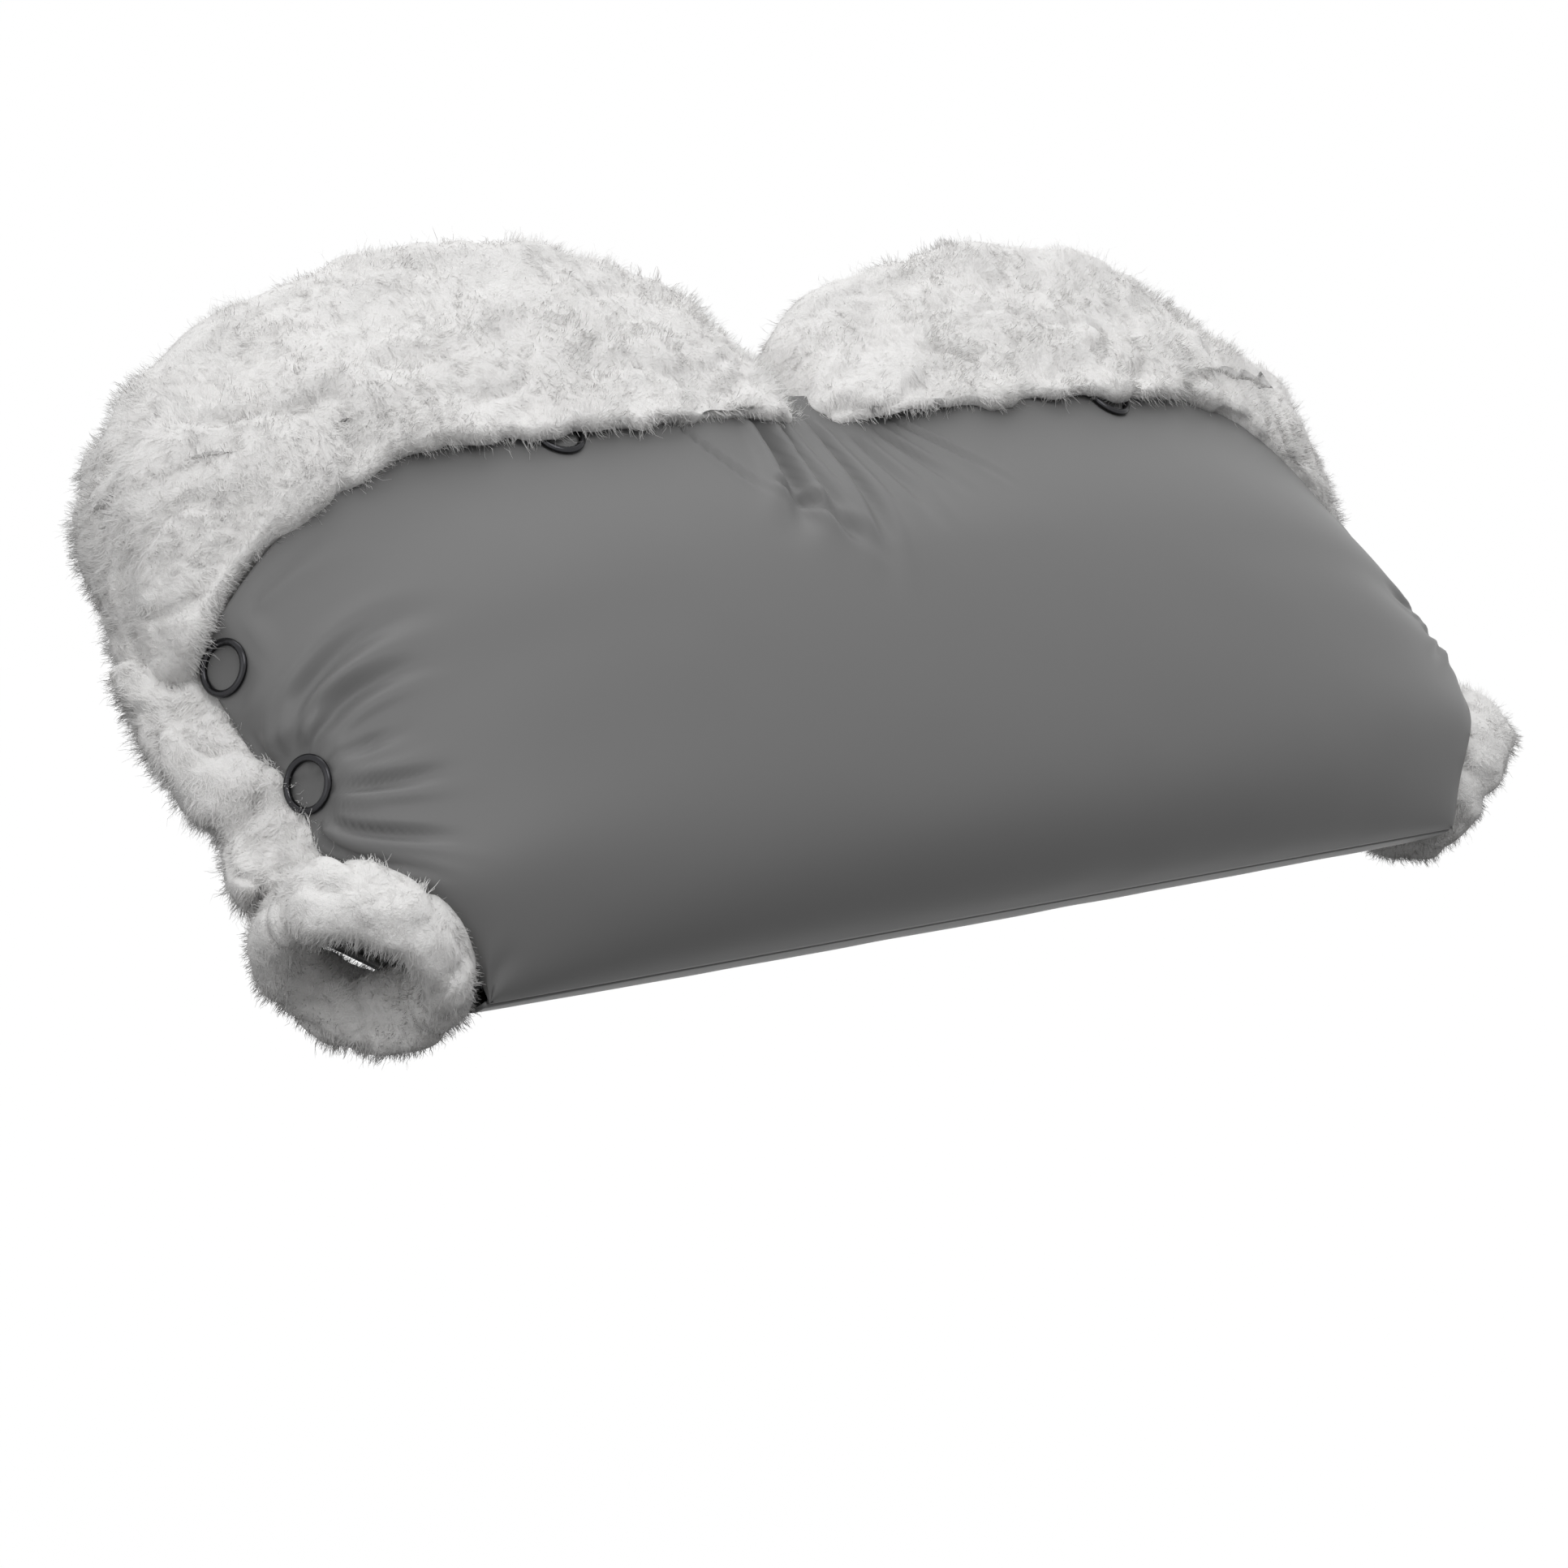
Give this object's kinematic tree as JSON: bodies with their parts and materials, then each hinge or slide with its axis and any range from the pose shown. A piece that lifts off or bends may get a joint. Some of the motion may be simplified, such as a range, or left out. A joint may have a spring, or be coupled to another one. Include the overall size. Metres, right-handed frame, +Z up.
{
  "type": "pram hand muff",
  "caption": "Grey padded hand muff for a pram handle, lined with white wool, with two standing wool cuffs, wool-edged arm exits and black ring press studs; it opens at the bottom seam.",
  "frame": {"origin": "centre of the handle's crossbar inside the muff", "axes": "+X along the crossbar to the right as seen from the front, -Y to the front, +Z up; the panels lean back 34 degrees"},
  "size_m": [0.5478, 0.2062, 0.2335],
  "materials": {
    "shell_fabric": "satin water repellent weave",
    "wool": "curly wool pile",
    "wadding": "matt felt",
    "backing_fabric": "matt cloth",
    "black_nickel": "polished black nickel"
  },
  "bodies": {
    "rear_half": {"center_back_ring": "black_nickel", "center_stud": "black_nickel", "center_tab": "backing_fabric", "left_arm_cuff_rear": "wool", "left_corner_back_ring": "black_nickel", "left_corner_stud": "black_nickel", "left_corner_wool": "wool", "left_middle_back_ring": "black_nickel", "left_middle_stud": "black_nickel", "left_opening_band": "backing_fabric", "left_side_back_ring": "black_nickel", "left_side_stud": "black_nickel", "left_side_wall": "backing_fabric", "left_side_wool": "wool", "rear_lining": "wool", "rear_shell": "shell_fabric", "rear_wadding": "wadding", "right_arm_cuff_rear": "wool", "right_corner_back_ring": "black_nickel", "right_corner_stud": "black_nickel", "right_corner_wool": "wool", "right_middle_back_ring": "black_nickel", "right_middle_stud": "black_nickel", "right_opening_band": "backing_fabric", "right_side_back_ring": "black_nickel", "right_side_stud": "black_nickel", "right_side_wall": "backing_fabric", "right_side_wool": "wool"},
    "front_panel": {"center_socket": "black_nickel", "front_lining": "wool", "front_shell": "shell_fabric", "front_wadding": "wadding", "left_arm_cuff_front": "wool", "left_corner_ring_cap": "black_nickel", "left_corner_socket": "black_nickel", "left_middle_ring_cap": "black_nickel", "left_middle_socket": "black_nickel", "left_side_ring_cap": "black_nickel", "left_side_socket": "black_nickel", "right_arm_cuff_front": "wool", "right_corner_ring_cap": "black_nickel", "right_corner_socket": "black_nickel", "right_middle_ring_cap": "black_nickel", "right_middle_socket": "black_nickel", "right_side_ring_cap": "black_nickel", "right_side_socket": "black_nickel"},
    "left_cuff": {"left_cuff_skin": "backing_fabric", "left_cuff_wool": "wool"},
    "right_cuff": {"right_cuff_skin": "backing_fabric", "right_cuff_wool": "wool"}
  },
  "joints": [
    {"name": "front_panel_fold", "type": "hinge", "parent": "rear_half", "child": "front_panel", "pos_m": [0, -0.05528, -0.06765], "axis": [1, 0, 0], "range_deg": [0, 110]},
    {"name": "left_cuff_fold", "type": "hinge", "parent": "rear_half", "child": "left_cuff", "pos_m": [0, 0.10227, 0.04199], "axis": [-1, 0, 0], "range_deg": [0, 70]},
    {"name": "right_cuff_fold", "type": "hinge", "parent": "rear_half", "child": "right_cuff", "pos_m": [0, 0.10227, 0.04199], "axis": [-1, 0, 0], "range_deg": [0, 70]}
  ]
}
